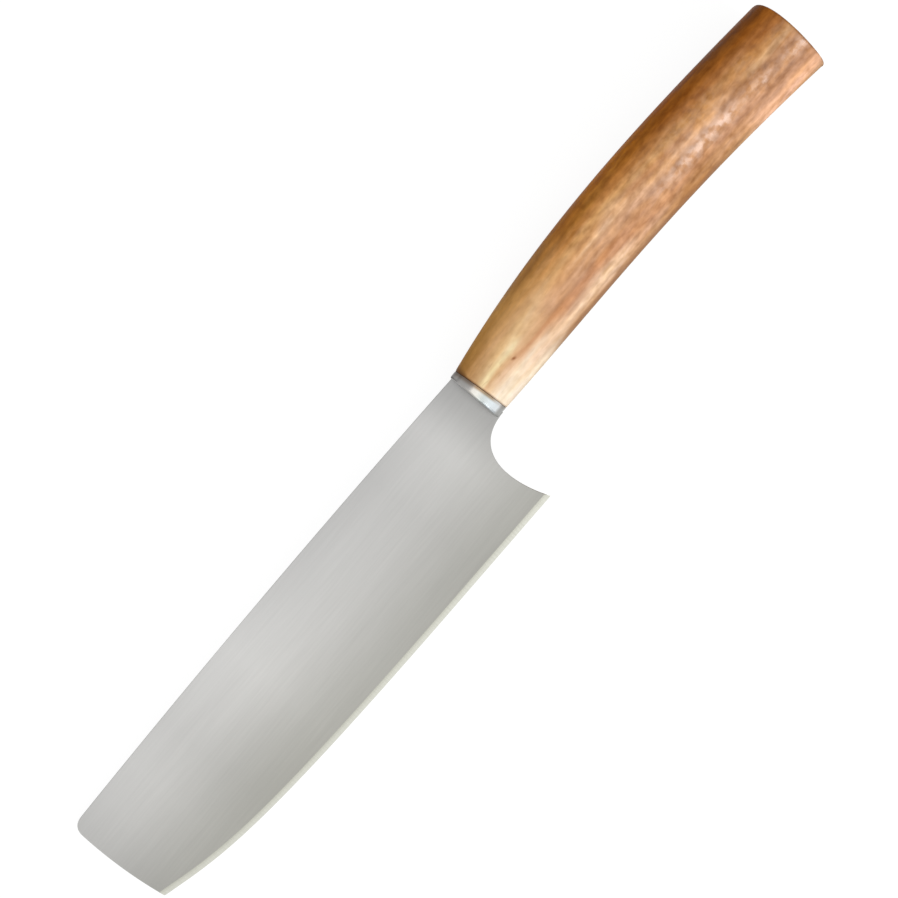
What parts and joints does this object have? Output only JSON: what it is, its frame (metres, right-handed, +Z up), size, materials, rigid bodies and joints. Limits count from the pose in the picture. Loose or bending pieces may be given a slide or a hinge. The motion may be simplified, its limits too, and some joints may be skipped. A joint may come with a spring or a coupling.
{
  "type": "kitchen knife",
  "caption": "Kitchen knife with a tall straight-edged blunt-nosed steel blade, a polished collar bolster and an arched wooden handle, lying on its side.",
  "frame": {"origin": "bottom centre of the knife's box as it lies on its right side on a worktop", "axes": "+X along the knife from nose to butt, +Y from the cutting edge towards the spine, +Z up out of the worktop"},
  "size_m": [0.3096, 0.0496, 0.0228],
  "materials": {
    "blade_steel": "satin, brushed along the blade",
    "bolster_steel": "polished steel",
    "handle_wood": "oiled, satin",
    "tang_epoxy": "cured epoxy"
  },
  "bodies": {
    "root": {"blade": "blade_steel", "bolster": "bolster_steel", "handle": "handle_wood", "tang_bed": "tang_epoxy"}
  },
  "joints": []
}
